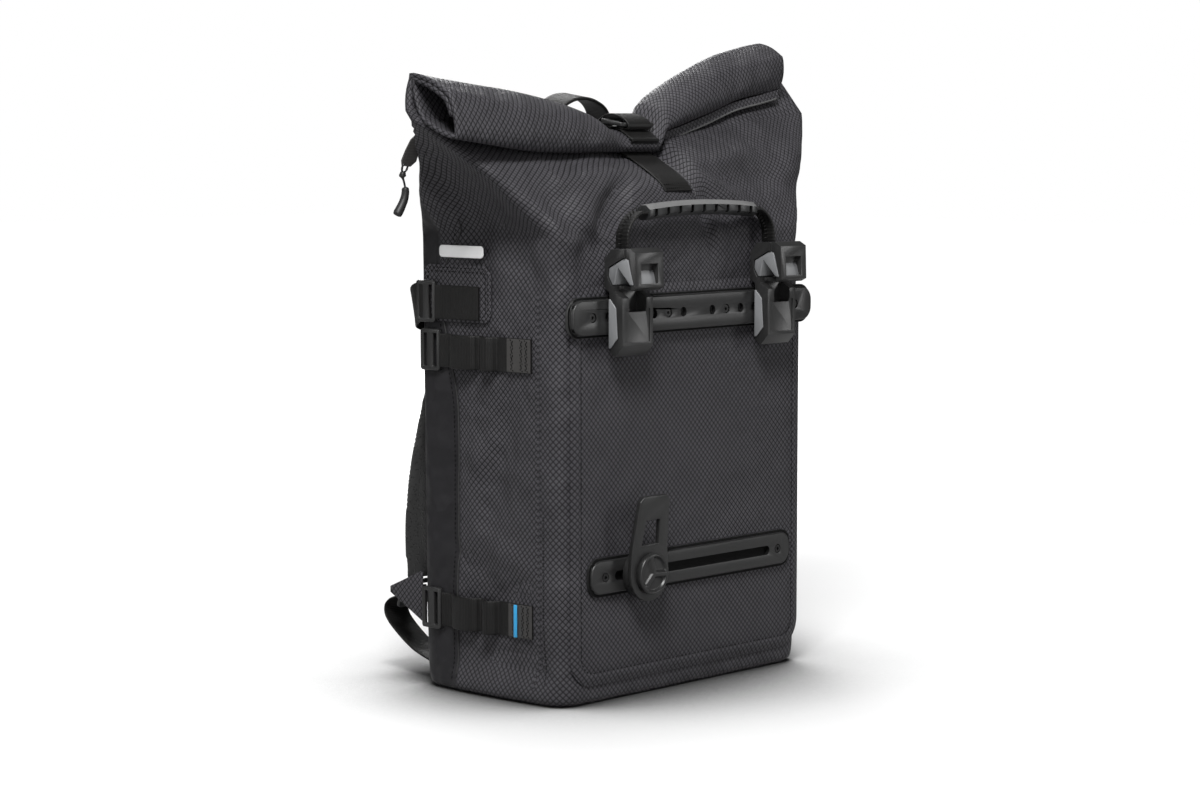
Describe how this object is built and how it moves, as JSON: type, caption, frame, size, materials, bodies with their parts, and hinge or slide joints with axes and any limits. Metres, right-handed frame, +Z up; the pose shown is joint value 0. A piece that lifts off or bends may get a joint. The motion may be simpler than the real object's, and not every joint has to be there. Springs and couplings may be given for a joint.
{
  "type": "bicycle messenger backpack",
  "caption": "Roll-top bicycle messenger backpack with rack hooks on a drilled rail, a carry grip, a sliding lower hook, side webbing with locks, a haul loop and padded shoulder straps.",
  "frame": {"origin": "middle of the flat base, on the ground", "axes": "+Z up, -Y towards the front with the rack hooks, +Y towards the wearer, +X to the right seen from the front"},
  "size_m": [0.436, 0.2412, 0.4879],
  "materials": {
    "shell_cloth": "coated charcoal ripstop with a diamond grid",
    "panel_cloth": "coated charcoal ripstop with a diamond grid",
    "webbing": "black ribbed webbing",
    "strap_padding": "black padded cloth",
    "black_plastic": "satin moulded black",
    "soft_plastic": "soft moulded black",
    "grey_plastic": "satin moulded grey",
    "reflective": "silver reflective film",
    "blue_tape": "blue woven tape",
    "steel": "darkened steel"
  },
  "bodies": {
    "bag": {"bag_shell": "shell_cloth", "front_panel": "panel_cloth", "upper_rail": "black_plastic", "upper_rail_screw_1": "steel", "upper_rail_screw_2": "steel", "upper_rail_screw_3": "steel", "upper_rail_screw_4": "steel", "lower_rail": "black_plastic", "lower_rail_screw_1": "steel", "lower_rail_screw_2": "steel", "hook_left_body": "black_plastic", "hook_left_liner": "grey_plastic", "hook_left_insert_left": "grey_plastic", "hook_left_insert_right": "grey_plastic", "hook_right_body": "black_plastic", "hook_right_liner": "grey_plastic", "hook_right_insert_left": "grey_plastic", "hook_right_insert_right": "grey_plastic", "handle_grip": "grey_plastic", "handle_webbing_left": "webbing", "handle_webbing_right": "webbing", "closure_strap_front": "webbing", "closure_strap_rear": "webbing", "closure_buckle": "black_plastic", "haul_loop": "webbing", "side_strap_upper_left": "webbing", "side_strap_upper_right": "webbing", "side_lock_upper_left": "black_plastic", "side_lock_upper_right": "black_plastic", "side_strap_middle_left": "webbing", "side_strap_middle_right": "webbing", "side_lock_middle_left": "black_plastic", "side_lock_middle_right": "black_plastic", "side_strap_lower_left": "webbing", "side_strap_lower_right": "webbing", "side_lock_lower_left": "black_plastic", "side_lock_lower_right": "black_plastic", "side_patch_left": "shell_cloth", "side_patch_right": "shell_cloth", "reflective_strip_left": "reflective", "reflective_strip_right": "reflective", "blue_tag": "blue_tape", "shoulder_strap_left": "strap_padding", "harness_webbing_left": "webbing", "harness_wing_left": "shell_cloth", "harness_lock_left": "black_plastic", "shoulder_strap_right": "strap_padding", "harness_webbing_right": "webbing", "harness_wing_right": "shell_cloth", "harness_lock_right": "black_plastic", "zip_slider": "black_plastic", "zip_pull": "soft_plastic"},
    "lower_slider": {"lower_hook_slider": "black_plastic"},
    "lower_arm": {"lower_hook_arm": "black_plastic"},
    "lower_knob": {"lower_hook_knob": "black_plastic"},
    "latch_left": {"hook_left_latch": "soft_plastic"},
    "latch_right": {"hook_right_latch": "soft_plastic"}
  },
  "joints": [
    {"name": "lower_hook_slide", "type": "slide", "parent": "bag", "child": "lower_slider", "axis": [1, 0, 0], "range_m": [-0.015, 0.139]},
    {"name": "lower_hook_turn", "type": "hinge", "parent": "lower_slider", "child": "lower_arm", "pos_m": [-0.062, -0.09075, 0.0934], "axis": [0, 1, 0], "continuous": true},
    {"name": "lower_knob_turn", "type": "hinge", "parent": "lower_slider", "child": "lower_knob", "pos_m": [-0.062, -0.0955, 0.0934], "axis": [0, 1, 0], "continuous": true},
    {"name": "latch_left_swing", "type": "hinge", "parent": "bag", "child": "latch_left", "pos_m": [-0.0815, -0.0906, 0.3038], "axis": [1, 0, 0], "range_deg": [0, 55], "stiffness_Nm_per_rad": 0.02, "springref_deg": -20.05},
    {"name": "latch_right_swing", "type": "hinge", "parent": "bag", "child": "latch_right", "pos_m": [0.0815, -0.0906, 0.3038], "axis": [1, 0, 0], "range_deg": [0, 55], "stiffness_Nm_per_rad": 0.02, "springref_deg": -20.05}
  ]
}
